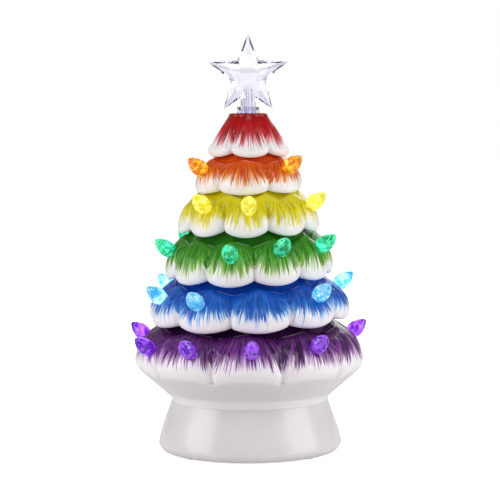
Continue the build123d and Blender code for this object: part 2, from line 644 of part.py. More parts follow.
def contact_plates():
    """Four metal plates on the bay's ends: two bridge neighbouring cells, two are terminals."""
    plates = []
    for side in (-1, 1):
        x = side * (BAY_LENGTH - CONTACT_THICKNESS) / 2
        low, high = CELL_HEIGHT - CONTACT_SIDE / 2, CELL_HEIGHT + CONTACT_SIDE / 2
        bridge = CONTACT_SIDE + CELL_PITCH
        plates.append(block(CONTACT_THICKNESS, bridge, low, high, x, side * CELL_PITCH / 2))
        plates.append(block(CONTACT_THICKNESS, CONTACT_SIDE, low, high, x, -side * CELL_PITCH))
    return Compound(plates)


SWITCH_HIGH = PLATE_HIGH + SWITCH_HEIGHT
TIMER_HIGH = SWITCH_HIGH + TIMER_THICKNESS


def switch_body():
    """The slide switch's case, on the tray's plate over the slot."""
    case = block(SWITCH_LENGTH, SWITCH_WIDTH, PLATE_HIGH, SWITCH_HIGH, y=SWITCH_Y)
    run = SLIDER_LENGTH + 2 * (SLIDER_TRAVEL + SLIDER_GAP)
    return case - block(run, SLIDER_WIDTH + 2 * SLIDER_GAP, PLATE_HIGH - CUT_OVERRUN,
                        PLATE_HIGH + SLIDER_DEPTH + SLIDER_GAP, y=SWITCH_Y)


def switch_slider():
    """The finger piece that slides between off, on and timer."""
    return block(SLIDER_LENGTH, SLIDER_WIDTH, PLATE_LOW - SLIDER_PROUD, PLATE_HIGH + SLIDER_DEPTH, y=SWITCH_Y)


def timer_board():
    """The small circuit board soldered on top of the switch."""
    return block(TIMER_LENGTH, TIMER_WIDTH, SWITCH_HIGH, TIMER_HIGH, y=SWITCH_Y)


def lamp_post():
    """The hollow post that carries the lamps up into the tree, screwed to the tray's roof."""
    flange = disc(POST_FLANGE_RADIUS, ROOF_HIGH, ROOF_HIGH + POST_FLANGE_HEIGHT)
    tube = disc(POST_RADIUS, ROOF_HIGH, POST_TOP)
    bore = disc(POST_BORE_RADIUS, ROOF_HIGH - CUT_OVERRUN, POST_TOP + CUT_OVERRUN)
    slot = block(POST_SLOT_WIDTH, POST_FLANGE_RADIUS, ROOF_HIGH - CUT_OVERRUN, ROOF_HIGH + POST_SLOT_HEIGHT,
                 y=POST_FLANGE_RADIUS / 2)
    holes = [
        disc(SCREW_RADIUS + SCREW_CLEARANCE, ROOF_HIGH - CUT_OVERRUN, ROOF_HIGH + POST_SLOT_HEIGHT, *place)
        for place in post_screw_places()
    ]
    return flange - holes + tube - [bore, slot]


def post_screws():
    """Two pan-head screws through the post's flange into the tray's roof."""
    seat = ROOF_HIGH + POST_FLANGE_HEIGHT
    return Compound([
        disc(SCREW_RADIUS, seat - SCREW_LENGTH, seat, *place)
        + disc(SCREW_HEAD_RADIUS, seat, seat + SCREW_HEAD_HEIGHT, *place)
        for place in post_screw_places()
    ])


def led_board():
    """The round board on top of the post."""
    return disc(LED_BOARD_RADIUS, POST_TOP, POST_TOP + LED_BOARD_THICKNESS)


def led(count):
    """One domed lamp on the board."""
    seat = POST_TOP + LED_BOARD_THICKNESS
    shoulder = seat + LED_BODY_HEIGHT
    upright = disc(LED_RIM_RADIUS, seat, seat + LED_RIM_HEIGHT) + disc(LED_RADIUS, seat, shoulder)
    dome = Pos(0.0, 0.0, shoulder) * Sphere(LED_RADIUS)
    return Pos(polar(LED_RING_RADIUS, 360.0 / LED_COUNT * count)) * (upright + dome)


def lead(side):
    """One lead: up from the timer board, over the tray's roof and up inside the post."""
    x = side * LEAD_SPREAD
    over = ROOF_HIGH + LEAD_RADIUS + LEAD_ROOF_GAP
    route = [(x, SWITCH_Y, TIMER_HIGH), (x, SWITCH_Y, over), (x, 0.0, over), (x, 0.0, POST_TOP)]
    path = FilletPolyline(*route, radius=[LEAD_BEND_SHARE * (over - TIMER_HIGH), LEAD_POST_BEND])
    return sweep(Plane(path @ 0, z_dir=path % 0) * Circle(LEAD_RADIUS), path)


def all_parts():
    """Every sub-part by node name."""
    outside = tree_outside()
    seats = bulb_planes(outside)
    parts = {
        "base_shell": base_shell(),
        "tray_gasket": tray_gasket(),
        "battery_tray": battery_tray(),
        "battery_door": battery_door(),
        "contact_plates": contact_plates(),
        "contact_springs": Compound([contact_spring(*place) for place in cell_places()]),
        "switch_body": switch_body(),
        "switch_slider": switch_slider(),
        "timer_board": timer_board(),
        "lamp_post": lamp_post(),
        "post_screws": post_screws(),
        "led_board": led_board(),
        "red_lead": lead(1),
        "black_lead": lead(-1),
        "tree_shell": tree_shell(outside, seats),
        "star_bush": star_bush(),
        "star": star(),
    }
    parts |= {f"foot_pad_{count}": foot_pad(azimuth) for count, azimuth in enumerate(PAD_AZIMUTHS, start=1)}
    parts |= {f"aa_cell_{count}": aa_cell(*place) for count, place in enumerate(cell_places(), start=1)}
    parts |= {f"led_{count}": led(count) for count in range(1, LED_COUNT + 1)}
    parts |= {name: plane * bulb() for name, plane in seats.items()}
    return parts


os.makedirs("parts", exist_ok=True)
for node, shape in all_parts().items():
    export_step(shape, f"parts/{node}.step")
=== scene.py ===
"""A hand-painted ceramic Christmas tree on its pedestal, dressed around its packed construction."""

import math
from collections import namedtuple

import bmesh
import bpy
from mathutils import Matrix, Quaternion, Vector, noise
from mathutils.geometry import interpolate_bezier


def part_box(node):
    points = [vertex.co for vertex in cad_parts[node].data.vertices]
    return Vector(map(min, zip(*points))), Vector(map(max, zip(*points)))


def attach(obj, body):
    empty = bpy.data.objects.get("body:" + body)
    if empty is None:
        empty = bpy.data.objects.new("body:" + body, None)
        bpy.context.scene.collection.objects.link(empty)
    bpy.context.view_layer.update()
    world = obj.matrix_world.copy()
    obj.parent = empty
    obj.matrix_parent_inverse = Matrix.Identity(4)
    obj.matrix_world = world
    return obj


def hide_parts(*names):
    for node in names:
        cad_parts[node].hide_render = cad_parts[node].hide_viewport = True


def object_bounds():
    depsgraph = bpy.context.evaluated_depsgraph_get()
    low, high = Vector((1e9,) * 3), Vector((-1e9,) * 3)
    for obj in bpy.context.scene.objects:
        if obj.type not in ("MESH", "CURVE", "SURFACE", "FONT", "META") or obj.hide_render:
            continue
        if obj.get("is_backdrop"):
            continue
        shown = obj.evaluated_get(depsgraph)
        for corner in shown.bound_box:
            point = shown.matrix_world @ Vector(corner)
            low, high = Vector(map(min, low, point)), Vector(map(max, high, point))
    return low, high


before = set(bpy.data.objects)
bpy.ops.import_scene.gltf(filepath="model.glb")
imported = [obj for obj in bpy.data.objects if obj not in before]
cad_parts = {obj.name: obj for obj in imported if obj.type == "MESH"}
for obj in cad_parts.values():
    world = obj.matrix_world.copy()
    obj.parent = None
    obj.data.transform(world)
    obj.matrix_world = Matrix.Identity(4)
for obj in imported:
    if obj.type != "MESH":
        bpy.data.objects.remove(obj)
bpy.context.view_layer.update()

# Pedestal: a flared foot, slip cast in white earthenware and dipped in a clear gloss glaze.
# Its top is a flat seat with a spigot inside, which the loose tree stands on.
MM = 0.001
SPIN_STEPS = 192
PEDESTAL_CORNER = 0.25 * MM
foot_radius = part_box("base_shell")[1].x
foot_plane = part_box("base_shell")[0].z
seat_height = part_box("tree_shell")[0].z
spigot_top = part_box("base_shell")[1].z
neck_radius = 47.7 * MM
foot_ring = (44.5 * MM, 53.5 * MM)
foot_widest = 5.0 * MM
waist = (52.4 * MM, 18.15 * MM)
spigot = (39.0 * MM, 43.0 * MM)
floor_edge = 41.5 * MM
floor_levels = (3.8 * MM, 7.8 * MM)
pedestal_inside = ((39.0, 27.3), (43.7, 23.3), (51.0, 9.8), (51.0, 7.8))


def smooth_line(keys, rows):
    """A smooth line of (radius, height) points through the keys, with that many rows after each key."""
    ends = [keys[0], *keys, keys[-1]]
    ways = [(Vector(after) - Vector(before)).normalized() for before, after in zip(ends, ends[2:])]
    line = []
    for start, end, way_out, way_in, count in zip(keys, keys[1:], ways, ways[1:], rows):
        reach = (Vector(end) - Vector(start)).length / 3
        handles = (Vector(start) + way_out * reach, Vector(end) - way_in * reach)
        line += [tuple(p)[:2] for p in interpolate_bezier(start, *handles, end, count + 1)[:-1]]
    return line + [tuple(keys[-1])]


def linear(hex_colour):
    """An sRGB hex colour as linear RGBA."""
    channels = [int(hex_colour[i:i + 2], 16) / 255 for i in (1, 3, 5)]
    return (*[c / 12.92 if c <= 0.04045 else ((c + 0.055) / 1.055) ** 2.4 for c in channels], 1.0)


def add_node(material, kind, inputs=None, **settings):
    """Adds a node with its settings. An input is a value, or the output socket that feeds it."""
    node = material.node_tree.nodes.new(kind)
    for name, value in settings.items():
        setattr(node, name, value)
    for socket, value in (inputs or {}).items():
        if isinstance(value, bpy.types.NodeSocket):
            material.node_tree.links.new(value, node.inputs[socket])
        else:
            node.inputs[socket].default_value = value
    return node


def new_material(name, **sockets):
    """A material with a Principled shader, and constants set on its sockets."""
    material = bpy.data.materials.new(name)
    material.use_nodes = True
    shader = material.node_tree.nodes["Principled BSDF"]
    for socket, value in sockets.items():
        shader.inputs[socket.replace("_", " ").title().replace("Ior", "IOR")].default_value = value
    return material, shader


def feed(material, shader, **sources):
    """Links output sockets to the shader's inputs."""
    for socket, source in sources.items():
        material.node_tree.links.new(source, shader.inputs[socket.replace("_", " ").title()])


def grain(material, shader, size, tones, depth, detail=4.0):
    """Colour that wanders between two tones, and a bump, both of one grain size in metres."""
    place = add_node(material, "ShaderNodeTexCoord").outputs["Object"]
    speck = add_node(material, "ShaderNodeTexNoise", {"Vector": place, "Scale": 1 / size, "Detail": detail})
    ramp = add_node(material, "ShaderNodeValToRGB", {"Fac": speck.outputs["Fac"]})
    for element, position, tone in zip(ramp.color_ramp.elements, (0.35, 0.65), tones):
        element.position, element.color = position, linear(tone)
    bump = add_node(material, "ShaderNodeBump", {"Height": speck.outputs["Fac"], "Distance": depth})
    feed(material, shader, base_color=ramp.outputs["Color"], normal=bump.outputs["Normal"])


def new_piece(shape, name, material, body, slot, *replaced):
    """Makes a bmesh into a smooth-shaded piece that rides a body and stands for CAD nodes."""
    mesh = bpy.data.meshes.new(name)
    shape.to_mesh(mesh)
    shape.free()
    mesh.shade_smooth()
    mesh.set_sharp_from_angle(angle=math.radians(40))
    mesh.materials.append(material)
    piece = bpy.data.objects.new(name, mesh)
    bpy.context.scene.collection.objects.link(piece)
    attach(piece, body)
    if replaced:
        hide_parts(*replaced)
    return piece


def spin_closed(shape, ring, steps):
    """Joins verts into a closed outline and spins it about the tree's axis into a shell."""
    for start, end in zip(ring, ring[1:] + ring[:1]):
        shape.edges.new((start, end))
    bmesh.ops.spin(shape, geom=shape.verts[:] + shape.edges[:], cent=(0, 0, 0), axis=(0, 0, 1),
                   angle=math.tau, steps=steps, use_merge=True, use_duplicate=False)
    bmesh.ops.recalc_face_normals(shape, faces=shape.faces)


def soften(shape, width, angle=30.0, segments=2):
    """Bevels every edge that is sharper than the angle, and gives back the new faces."""
    sharp = [e for e in shape.edges if e.is_manifold and e.calc_face_angle() > math.radians(angle)]
    return bmesh.ops.bevel(shape, geom=sharp, offset=width, segments=segments, profile=0.5, affect="EDGES",
                           material=-1)["faces"]


flare = smooth_line([(foot_ring[1], foot_plane), (foot_radius - 0.9 * MM, foot_plane + 1.6 * MM),
                     (foot_radius, foot_widest), waist, (neck_radius, seat_height)], (4, 4, 12, 10))
outline = flare + [(spigot[1], seat_height), (spigot[1], spigot_top), (spigot[0], spigot_top)]
outline += [(radius * MM, height * MM) for radius, height in pedestal_inside]
outline += [(floor_edge, floor_levels[1]), (floor_edge, floor_levels[0]), (foot_ring[0], floor_levels[0]),
            (foot_ring[0], foot_plane)]
pedestal = bmesh.new()
spin_closed(pedestal, [pedestal.verts.new((radius, 0.0, height)) for radius, height in outline], SPIN_STEPS)
soften(pedestal, PEDESTAL_CORNER)

# White earthenware under clear glaze: a soft warm white with a faint cloudiness and a wavy, wet gloss.
white_glaze, shader = new_material("white_earthenware_glaze", roughness=0.24, ior=1.5)
grain(white_glaze, shader, 24 * MM, ("#dbd5d8", "#dfdadd"), 0.05 * MM, detail=2.0)
new_piece(pedestal, "pedestal", white_glaze, "base", "base_glaze", "base_shell")


def dress(material, *names):
    """Gives CAD nodes a material."""
    for name in names:
        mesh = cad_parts[name].data
        mesh.materials.clear()
        mesh.materials.append(material)


# Foot pads: frosted silicone dots, pressed into pockets of the foot ring.
# The silicone is milky and lets a little light in.
silicone, shader = new_material("frosted_silicone", roughness=0.55, subsurface_weight=0.3)
shader.inputs["Subsurface Radius"].default_value = (1.0 * MM, 1.0 * MM, 1.0 * MM)
grain(silicone, shader, 0.6 * MM, ("#d3d6d6", "#e2e5e5"), 0.03 * MM)
dress(silicone, *[f"foot_pad_{count}" for count in range(1, 5)])

# Tray grommet: a moulded black rubber ring that grips the edge of the pedestal's floor.
# Rubber is dull, with a fine grain from its mould.
rubber, shader = new_material("black_rubber", roughness=0.7)
grain(rubber, shader, 0.5 * MM, ("#191919", "#242424"), 0.05 * MM)
dress(rubber, "tray_gasket")

# Battery tray and door: injection-moulded ABS, spark-eroded to a fine satin.
# The door hangs on two moulded pins and snaps shut with its sprung tongue.
abs_plastic, shader = new_material("satin_abs", roughness=0.42)
grain(abs_plastic, shader, 0.45 * MM, ("#dedcd6", "#e7e5df"), 0.04 * MM)
dress(abs_plastic, "battery_tray", "battery_door", "lamp_post")

# AA cells: steel cans in a shrunk sleeve, dark with a plain copper-coloured band at the button end.
# The bare steel pole shows at each end.
CELL_SLEEVE_RADIUS = 7.0 * MM
CELL_BAND = 14.0 * MM
for count in range(1, 4):
    low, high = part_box(f"aa_cell_{count}")
    centre = (low + high) / 2
    button_side = 1.0 if count % 2 else -1.0
    sleeve, shader = new_material(f"cell_sleeve_{count}", roughness=0.3)
    place = add_node(sleeve, "ShaderNodeTexCoord").outputs["Object"]
    local = add_node(sleeve, "ShaderNodeVectorMath", {0: place, 1: centre}, operation="SUBTRACT")
    parts = add_node(sleeve, "ShaderNodeSeparateXYZ", {"Vector": local.outputs["Vector"]})
    along = add_node(sleeve, "ShaderNodeMath", {0: parts.outputs["X"], 1: button_side}, operation="MULTIPLY")
    band = add_node(sleeve, "ShaderNodeMath", {0: along.outputs["Value"], 1: (high.x - low.x) / 2 - CELL_BAND},
                    operation="GREATER_THAN")
    across = add_node(sleeve, "ShaderNodeCombineXYZ", {"Y": parts.outputs["Y"], "Z": parts.outputs["Z"]})
    radius = add_node(sleeve, "ShaderNodeVectorMath", {0: across.outputs["Vector"]}, operation="LENGTH")
    bare = add_node(sleeve, "ShaderNodeMath", {0: radius.outputs["Value"], 1: CELL_SLEEVE_RADIUS},
                    operation="LESS_THAN")
    wrap = add_node(sleeve, "ShaderNodeMix", {"Factor": band.outputs["Value"], 6: linear("#2b2d31"),
                                              7: linear("#b8793c")}, data_type="RGBA")
    skin = add_node(sleeve, "ShaderNodeMix", {"Factor": bare.outputs["Value"], 6: wrap.outputs[2],
                                              7: linear("#b9b7b2")}, data_type="RGBA")
    feed(sleeve, shader, base_color=skin.outputs[2], metallic=bare.outputs["Value"])
    dress(sleeve, f"aa_cell_{count}")

# Contacts and screws: nickel-plated spring steel and zinc-plated steel, lightly scuffed.
# The plates are stamped, the springs wound from wire, and the screws rolled.
plating, shader = new_material("nickel_plate", metallic=1.0, roughness=0.28)
grain(plating, shader, 0.8 * MM, ("#a9a7a2", "#c4c2bc"), 0.02 * MM)
dress(plating, "contact_plates", "contact_springs", "post_screws")

# Switch: a black nylon case with a ridged finger piece that slides between timer, off and on.
# Nylon is matte and shows a faint mould grain.
nylon, shader = new_material("black_nylon", roughness=0.5)
grain(nylon, shader, 0.4 * MM, ("#141414", "#202020"), 0.03 * MM)
dress(nylon, "switch_body", "switch_slider")

# Circuit boards: glass-fibre sheet under green solder mask, cut by a router.
# The weave shows faintly through the mask.
solder_mask, shader = new_material("green_solder_mask", roughness=0.35)
grain(solder_mask, shader, 1.2 * MM, ("#12512a", "#1a6637"), 0.02 * MM)
dress(solder_mask, "timer_board", "led_board")

# Lamps: water-clear epoxy domes, cast over their chips and soldered to the board.
# Warm-white phosphor tints them slightly yellow.
epoxy, shader = new_material("warm_clear_epoxy", roughness=0.08, ior=1.53, transmission_weight=0.7)
grain(epoxy, shader, 2.0 * MM, ("#f6e9b8", "#fbf4d8"), 0.01 * MM)
dress(epoxy, *[f"led_{count}" for count in range(1, 6)])

# Leads: stranded copper in PVC, red and black, from the timer board up inside the post.
# PVC has a soft shine and a slightly drawn, streaky skin.
for colour, tones in (("red", ("#8f1512", "#b01c17")), ("black", ("#131313", "#1e1e1e"))):
    pvc, shader = new_material(f"{colour}_pvc", roughness=0.38)
    grain(pvc, shader, 0.7 * MM, tones, 0.02 * MM)
    dress(pvc, f"{colour}_lead")

# Tree: one hollow earthenware casting of six scalloped skirts, carved with radial strokes.
# Each skirt is brushed with its own glaze colour, dry-brushed white at its hem, and fired glossy.
TREE_STEPS = 420
ROW_COUNTS = (3, 3, 4, 6, 7, 6, 4)  # rows after each key of a skirt's profile
ROW_MARKS = (-1.0, -0.25, 0.0, 0.3, 0.62, 1.0, 1.3, 1.7)  # neck, crown, ridge, slope, slope, hem, lip, underside
TILT_AZIMUTH = math.radians(-30)
LIP_TUCK = 2.2
LIP_OVERHANG = 4.2  # how far a neck's top, and an underside's end, lie above the lip
UNDERSIDE_REACH = 1.2
RIDGE_ROUND = 2.0
CROWN_RISE_SHARE = 0.4
NECK_TUCK = 7.0
RED_TOP_INSET = 3.0
RED_RIM = (0.7, 0.5)
LOBE_SHARES = (0.35, 0.65)  # how much of the crease depth is reached at the ridge, and below it
LOBE_ROUND = 2.2
NOTCH_SHARE, NOTCH_WIDTH = 0.55, 0.07
CREST, CREST_WIDTH = 0.5, 0.07
HEM_KEPT_SHARE = 0.6
STROKE_SPACING = 3.0
STROKE_DEPTH = 0.65
STROKE_WIDTH = 0.3
STROKE_LENGTH_SHARE = 0.7
STROKE_FAN_SHARES = (0.6, 0.4)
RED_FINENESS = 1.6
LOBE_SHIFT, TIER_SHIFT = 57.3, 191.7  # so that no two lobes have the same strokes
SWELL, SWELL_SPACING, SWELL_LENGTH_SHARE, SWELL_SHIFT = 0.3, 7.0, 1.5, 40.0
OUT_SHARE, UP_SHARE = 0.75, 0.65  # the slope's facing, which the strokes are cut along
Skirt = namedtuple("Skirt", "lobes first_crease ridge hem lip crease scallop rise tilt snow thick slope thin")
# Red, orange, yellow, green, blue and purple. Lengths are in mm and angles in degrees, and the snow line is a share
# of the slope. Then the dark glaze of the brush streaks, which is also laid up to the neck as painted shade,
# the glaze on the slope, and where it is brushed thin.
SKIRTS = (
    Skirt(6, -27.0, (12.4, 203.9), (25.6, 182.6), 179.6, 2.2, 2.6, 0.0, 0.0, 0.54, "#900408", "#ee121e", "#eca4aa"),
    Skirt(6, -36.4, (24.3, 177.3), (33.2, 163.0), 158.1, 2.4, 2.2, 2.8, 1.2, 0.78, "#cc4408", "#f07612", "#f0b878"),
    Skirt(9, -22.4, (30.8, 156.6), (43.3, 138.6), 133.8, 3.0, 3.8, -4.0, 1.5, 0.81, "#d0c208", "#e8de1e", "#e8e27c"),
    Skirt(10, 3.8, (39.4, 131.1), (51.4, 113.1), 106.6, 3.0, 3.2, 4.0, 3.0, 0.86, "#2a7018", "#52aa2c", "#aace60"),
    Skirt(10, -11.1, (45.2, 103.3), (61.6, 88.1), 80.7, 3.0, 3.0, 4.0, 3.0, 0.89, "#1048b0", "#206ccc", "#7cbaf0"),
    Skirt(10, -19.3, (54.6, 76.0), (71.0, 58.0), 51.7, 3.0, -1.9, 3.2, 0.0, 0.82, "#2e0c3a", "#7e3694", "#c896d0"),
)
SLOPE_OUT = (0.45, 0.78)
DOMED_DROP = (0.2, 0.5)
STRAIGHT_DROP = (0.42, 0.75)
KEEL = ((65.8, 48.7), (51.8, 36.4), (49.6, 34.3), (48.3, 32.5), (47.8, 31.3))
TREE_MOUTH = 43.4
STAR_HOLE = 6.0
INSIDE = ((43.4, 36.3), (64.0, 58.0), (61.1, 67.0), (46.1, 72.0), (46.1, 88.7), (51.7, 95.7), (36.7, 99.3),
          (36.7, 114.9), (42.5, 122.1), (30.9, 127.1), (30.9, 142.7), (34.2, 147.6), (22.3, 152.6), (22.3, 165.4),
          (25.4, 170.2), (15.8, 173.3), (15.8, 187.1), (17.0, 188.2), (8.4, 200.0), (6.0, 200.0))


def ease(start, end, value):
    """Climbs smoothly from 0 at start to 1 at end."""
    share = min(max((value - start) / (end - start), 0.0), 1.0)
    return share * share * (3 - 2 * share)


tree_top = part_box("tree_shell")[1].z / MM
rows = [(STAR_HOLE, tree_top, -1, -1.0)]
for index, skirt in enumerate(SKIRTS):
    ridge, hem, lip = skirt.ridge, skirt.hem, skirt.lip
    out, fall = hem[0] - ridge[0], ridge[1] - hem[1]
    drops = DOMED_DROP if index else STRAIGHT_DROP
    slope = [(ridge[0] + share * out, ridge[1] - drop * fall) for share, drop in zip(SLOPE_OUT, drops)]
    if index:
        top = (ridge[0] - NECK_TUCK, SKIRTS[index - 1].lip + LIP_OVERHANG)
        crown = (ridge[0] - RIDGE_ROUND, ridge[1] + CROWN_RISE_SHARE * RIDGE_ROUND)
    else:
        top = (ridge[0] - RED_TOP_INSET, tree_top)
        crown = (ridge[0] - RED_RIM[0], tree_top - RED_RIM[1])
    if skirt is SKIRTS[-1]:
        under = KEEL[0]
    else:
        under = (SKIRTS[index + 1].ridge[0] - NECK_TUCK + UNDERSIDE_REACH, lip + LIP_OVERHANG)
    keys = [top, crown, ridge, *slope, hem, (hem[0] - LIP_TUCK, lip), under]
    line = smooth_line(keys, ROW_COUNTS)
    marks = [first + (second - first) * row / count for first, second, count in
             zip(ROW_MARKS, ROW_MARKS[1:], ROW_COUNTS) for row in range(count)] + [ROW_MARKS[-1]]
    rows += [(*point, index, mark) for point, mark in zip(line, marks)]
rows += [(*point, -1, 0.0) for point in (*KEEL[1:], (TREE_MOUTH, KEEL[-1][1]), *INSIDE)]

tree = bmesh.new()
tier_layer = tree.verts.layers.int.new("tier")
mark_layer = tree.verts.layers.float.new("mark")
ring = []
for radius, height, index, mark in rows:
    vert = tree.verts.new((radius * MM, 0.0, height * MM))
    vert[tier_layer], vert[mark_layer] = index, mark
    ring.append(vert)
spin_closed(tree, ring, TREE_STEPS)


def lobe_place(skirt, azimuth):
    """Which lobe an azimuth falls in, its turn from the lobe's middle, and 0 there to 1 at the creases."""
    step = math.tau / skirt.lobes
    turn = (azimuth - math.radians(skirt.first_crease)) / step
    lobe = math.floor(turn)
    return lobe % skirt.lobes, (turn - lobe - 0.5) * step, abs(2 * (turn - lobe) - 1)


strokes = []
groove_layer = tree.verts.layers.float.new("groove")
for vert in tree.verts:
    index, mark = vert[tier_layer], vert[mark_layer]
    if index < 0:
        strokes.append((0.0, 2.0, 0.0))
        continue
    skirt = SKIRTS[index]
    radius, height = math.hypot(vert.co.x, vert.co.y) / MM, vert.co.z / MM
    azimuth = math.atan2(vert.co.x, -vert.co.y)
    lobe, turn, side = lobe_place(skirt, azimuth)
    lobed = LOBE_SHARES[0] * ease(-0.7, 0.0, mark) + LOBE_SHARES[1] * ease(0.0, 0.9, mark)
    lobed *= 1 - ease(1.35, 1.7, mark)
    notch = NOTCH_SHARE * math.exp(-(((1 - side) / NOTCH_WIDTH) ** 2)) * ease(0.1, 0.5, mark)
    radius -= skirt.crease * lobed * (side ** LOBE_ROUND + notch)
    radius += CREST * math.exp(-((mark / CREST_WIDTH) ** 2)) * (index > 0)
    height += skirt.scallop * side ** 2 * ease(0.35, 1.15, mark) * (1 - HEM_KEPT_SHARE * ease(1.3, 1.7, mark))
    height += skirt.rise * (0.5 - side) * ease(-1.0, -0.3, mark) * (1 - ease(0.05, 0.5, mark))
    level = ease(-1.0, -0.3, mark) * (1 - ease(1.3, 1.7, mark))
    height -= math.tan(math.radians(skirt.tilt)) * radius * math.cos(azimuth - TILT_AZIMUTH) * level
    # The strokes fan out down the slope, from the middle of their lobe
    middle = (skirt.ridge[0] + skirt.hem[0]) / 2
    fine = 1.0 if index else RED_FINENESS
    fan = STROKE_FAN_SHARES[0] + STROKE_FAN_SHARES[1] * min(max(mark, 0.0), 1.2)
    across = fine * turn * middle / fan + lobe * LOBE_SHIFT + index * TIER_SHIFT
    waver = noise.noise(Vector((across / STROKE_SPACING, mark * STROKE_LENGTH_SHARE, 0.0)))
    carved = ease(0.12, 0.35, mark) * (1 - ease(0.85, 1.1, mark))
    groove = max(0.0, 1 - abs(waver) / STROKE_WIDTH) * carved
    swell = noise.noise(Vector((across / SWELL_SPACING, mark * SWELL_LENGTH_SHARE, SWELL_SHIFT)))
    lift = SWELL * swell * carved - STROKE_DEPTH * groove
    radius += lift * OUT_SHARE
    height += lift * UP_SHARE
    scale = radius * MM / math.hypot(vert.co.x, vert.co.y)
    vert.co = Vector((vert.co.x * scale, vert.co.y * scale, height * MM))
    vert[groove_layer] = groove
    strokes.append((across, mark, mark - skirt.snow))
bmesh.ops.recalc_face_normals(tree, faces=tree.faces)

# Brushed glazes: dark in the brush streaks and the carved strokes, thin and pale where the brush lifts,
# and white underglaze showing in spikes at each hem. All of it lies under one clear gloss. Each skirt is also
# painted darker from mid-slope up to its neck: painted shade, where the hem above overhangs it.
brushwork, shader = new_material("brushed_tree_glaze", roughness=0.16, ior=1.5, specular_ior_level=0.3)
casting = new_piece(tree, "tree", brushwork, "tree", "tree_glaze", "tree_shell")
mesh = casting.data
WHITE = "#f2edef"
# Painted shade: the white greys to this on the downward-facing keel and the lowest skirt's underside
KEEL_SHADE_WHITE = "#dfd8da"
HAIR_LINE = "#12100e"
paints = {"thick_glaze": "thick", "slope_glaze": "slope", "thin_glaze": "thin"}
tiers = [0] * len(mesh.vertices)
mesh.attributes["tier"].data.foreach_get("value", tiers)
for name, paint in paints.items():
    colours = [linear(getattr(skirt, paint)) for skirt in SKIRTS] + [linear(WHITE)]
    layer = mesh.attributes.new(name, "FLOAT_COLOR", "POINT")
    layer.data.foreach_set("color", [channel for index in tiers for channel in colours[index]])
# The bare white glaze, greying on the lowest skirt's underside and on the keel as painted shade, where they face
# down
layer = mesh.attributes.new("white_and_keel_shade", "FLOAT_COLOR", "POINT")
lowest = len(SKIRTS) - 1
bare = [(0.0 if -1 < index < lowest else ease(1.1, 1.7, place[1])) for index, place in zip(tiers, strokes)]
ends = list(zip(linear(WHITE), linear(KEEL_SHADE_WHITE)))
layer.data.foreach_set("color", [white + (keel - white) * share for share in bare for white, keel in ends])
layer = mesh.attributes.new("strokes", "FLOAT_VECTOR", "POINT")
layer.data.foreach_set("vector", [value for place in strokes for value in place])

readings = {name: add_node(brushwork, "ShaderNodeAttribute", attribute_name=name) for name in
            (*paints, "white_and_keel_shade", "groove", "strokes", "tier")}
place = readings["strokes"].outputs["Vector"]
split = add_node(brushwork, "ShaderNodeSeparateXYZ", {"Vector": place})


def sized_noise(width, length, detail):
    """Noise in streaks, by their width across the slope in mm and their length as a share of the slope."""
    scaled = add_node(brushwork, "ShaderNodeVectorMath", {0: place, 1: (1 / width, 1 / length, 0.0)},
                      operation="MULTIPLY")
    return add_node(brushwork, "ShaderNodeTexNoise", {"Vector": scaled.outputs["Vector"], "Scale": 1.0,
                                                      "Detail": detail}, noise_dimensions="2D").outputs["Fac"]


def eased(value, start, end, top=1.0):
    """Climbs smoothly from 0 to top between two readings."""
    reading = {"Value": value, "From Min": start, "From Max": end, "To Max": top}
    return add_node(brushwork, "ShaderNodeMapRange", reading, interpolation_type="SMOOTHSTEP").outputs["Result"]


def weighed(value, weight, added):
    """A value times its weight, added to another."""
    return add_node(brushwork, "ShaderNodeMath", {0: value, 1: weight, 2: added},
                    operation="MULTIPLY_ADD").outputs["Value"]


def both(value, other):
    """Two values, one times the other."""
    return add_node(brushwork, "ShaderNodeMath", {0: value, 1: other}, operation="MULTIPLY").outputs["Value"]


def layered(factor, under, over):
    """One glaze over another."""
    return add_node(brushwork, "ShaderNodeMix", {"Factor": factor, 6: under, 7: over}, data_type="RGBA").outputs[2]


# The brush's tufts, bristles and single hairs, 2.4, 0.9 and 0.4 mm wide, end at uneven heights
tufts, bristles, hairs = sized_noise(2.4, 1.2, 1.0), sized_noise(0.9, 0.8, 1.0), sized_noise(0.4, 0.6, 0.0)
groove, mark = readings["groove"].outputs["Fac"], split.outputs["Y"]
reach = weighed(tufts, 0.35, weighed(bristles, 0.5, weighed(hairs, 0.5, split.outputs["Z"])))
reach = weighed(groove, -0.12, weighed(1.0, -0.675, reach))
thick, slope, thin = (readings[name].outputs["Color"] for name in paints)
tint = layered(eased(reach, -0.28, 0.02), slope, thin)
# The dark colour goes into the bristle streaks and the carved strokes, and from mid-slope up to the neck as painted
# shade under the hem above
streak_and_shade_weight = weighed(eased(bristles, 0.48, 0.62), 0.8, weighed(groove, 0.75, eased(mark, 0.45, -0.12)))
fading = weighed(eased(reach, -0.25, 0.02), -0.55, 1.0)
streak_and_shade_share = add_node(brushwork, "ShaderNodeMath", {0: streak_and_shade_weight, 1: fading}, operation="MULTIPLY", use_clamp=True)
deep = layered(streak_and_shade_share.outputs["Value"], tint, thick)
# Single hairs leave near-black lines down the slope
lines = both(eased(hairs, 0.54, 0.66, 0.42), eased(mark, 0.08, 0.35))
deep = layered(lines, deep, linear(HAIR_LINE))
